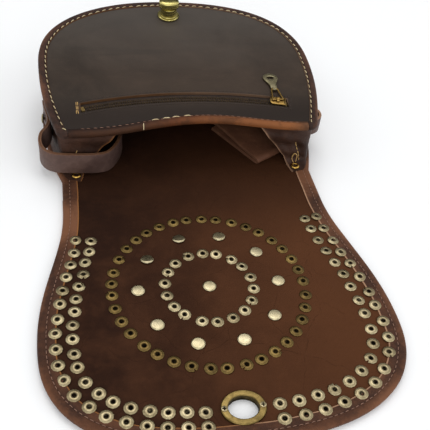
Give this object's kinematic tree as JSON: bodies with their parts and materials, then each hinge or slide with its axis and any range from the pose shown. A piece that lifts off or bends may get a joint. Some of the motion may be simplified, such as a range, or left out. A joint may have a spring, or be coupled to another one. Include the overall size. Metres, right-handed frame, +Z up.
{
  "type": "riveted flap bag",
  "caption": "Leather saddle bag lying open on its back: wide riveted flap folded out flat, turn-lock ring and post, zip pocket in the front panel, strap tucked in at the mouth.",
  "frame": {"origin": "centre of the bounding box in plan, on the surface that the bag lies on", "axes": "+Z up; +Y from the flap's tip to the bottom of the bag; +X across the bag, to the right as seen from the flap's tip"},
  "size_m": [0.2614, 0.4566, 0.0855],
  "materials": {
    "front_leather": "dark grey brown cowhide, half glossy",
    "flap_leather": "dark red brown leather, flesh side, matt",
    "binding_leather": "thin brown binding leather, matt",
    "mouth_leather": "red brown binding leather, satin",
    "strap_leather": "two layers of brown leather, satin",
    "silver_metal": "nickel plate, worn",
    "brass_metal": "aged brass, satin",
    "dark_tape": "woven cotton, matt"
  },
  "bodies": {
    "bag": {"back_panel": "flap_leather", "back_binding": "binding_leather", "front_panel": "front_leather", "front_binding": "binding_leather", "mouth_binding": "mouth_leather", "gusset": "flap_leather", "post_base": "brass_metal", "post_washer": "brass_metal", "zip_tape_bottom_side": "dark_tape", "zip_tape_mouth_side": "dark_tape", "zip_teeth_bottom_side": "brass_metal", "zip_teeth_mouth_side": "brass_metal", "zip_stop_left": "brass_metal", "zip_stop_right": "brass_metal", "zip_pocket_bag": "dark_tape", "neck_eyelet_left": "brass_metal", "neck_eyelet_right": "brass_metal", "strap_left_run": "strap_leather", "strap_shoulder": "strap_leather", "strap_stowed": "strap_leather", "strap_rivet": "silver_metal", "side_loop": "strap_leather"},
    "flap_root": {"flap_root": "flap_leather", "root_binding_left": "binding_leather", "root_binding_right": "binding_leather"},
    "flap": {"flap_panel": "flap_leather", "flap_binding": "binding_leather", "cap_stud_01": "silver_metal", "cap_stud_02": "silver_metal", "cap_stud_03": "silver_metal", "cap_stud_04": "silver_metal", "cap_stud_05": "silver_metal", "cap_stud_06": "silver_metal", "cap_stud_07": "silver_metal", "cap_stud_08": "silver_metal", "cap_stud_09": "silver_metal", "cap_stud_10": "silver_metal", "cap_stud_11": "silver_metal", "lock_ring": "brass_metal", "lock_back_plate": "brass_metal", "lock_screw_left": "silver_metal", "lock_screw_right": "silver_metal"},
    "knob": {"turn_knob": "brass_metal"},
    "slider": {"zip_slider": "brass_metal"},
    "link": {"pull_link": "brass_metal"},
    "tag": {"pull_tag": "brass_metal"}
  },
  "joints": [
    {"name": "flap_root_fold", "type": "hinge", "parent": "bag", "child": "flap_root", "pos_m": [0, 0.0294, 0.0039], "axis": [-1, 0, 0], "range_deg": [0, 81]},
    {"name": "flap_fold", "type": "hinge", "parent": "flap_root", "child": "flap", "pos_m": [0, -0.02151, 0.0039], "axis": [-1, 0, 0], "range_deg": [0, 93.32]},
    {"name": "lock_turn", "type": "hinge", "parent": "bag", "child": "knob", "pos_m": [0, 0.20335, 0.06706], "axis": [0, -0.099, 0.9951], "range_deg": [0, 90]},
    {"name": "zip_slide", "type": "hinge", "parent": "bag", "child": "slider", "pos_m": [0, -0.31041, 0.01595], "axis": [0, -0.099, 0.9951], "range_deg": [0, 24.58]},
    {"name": "pull_link_swing", "type": "hinge", "parent": "slider", "child": "link", "pos_m": [0.083, 0.06854, 0.05606], "axis": [1, 0, 0], "range_deg": [0, 180]},
    {"name": "pull_tag_swing", "type": "hinge", "parent": "link", "child": "tag", "pos_m": [0.083, 0.0835, 0.05714], "axis": [-1, 0, 0], "range_deg": [-140, 0]}
  ]
}
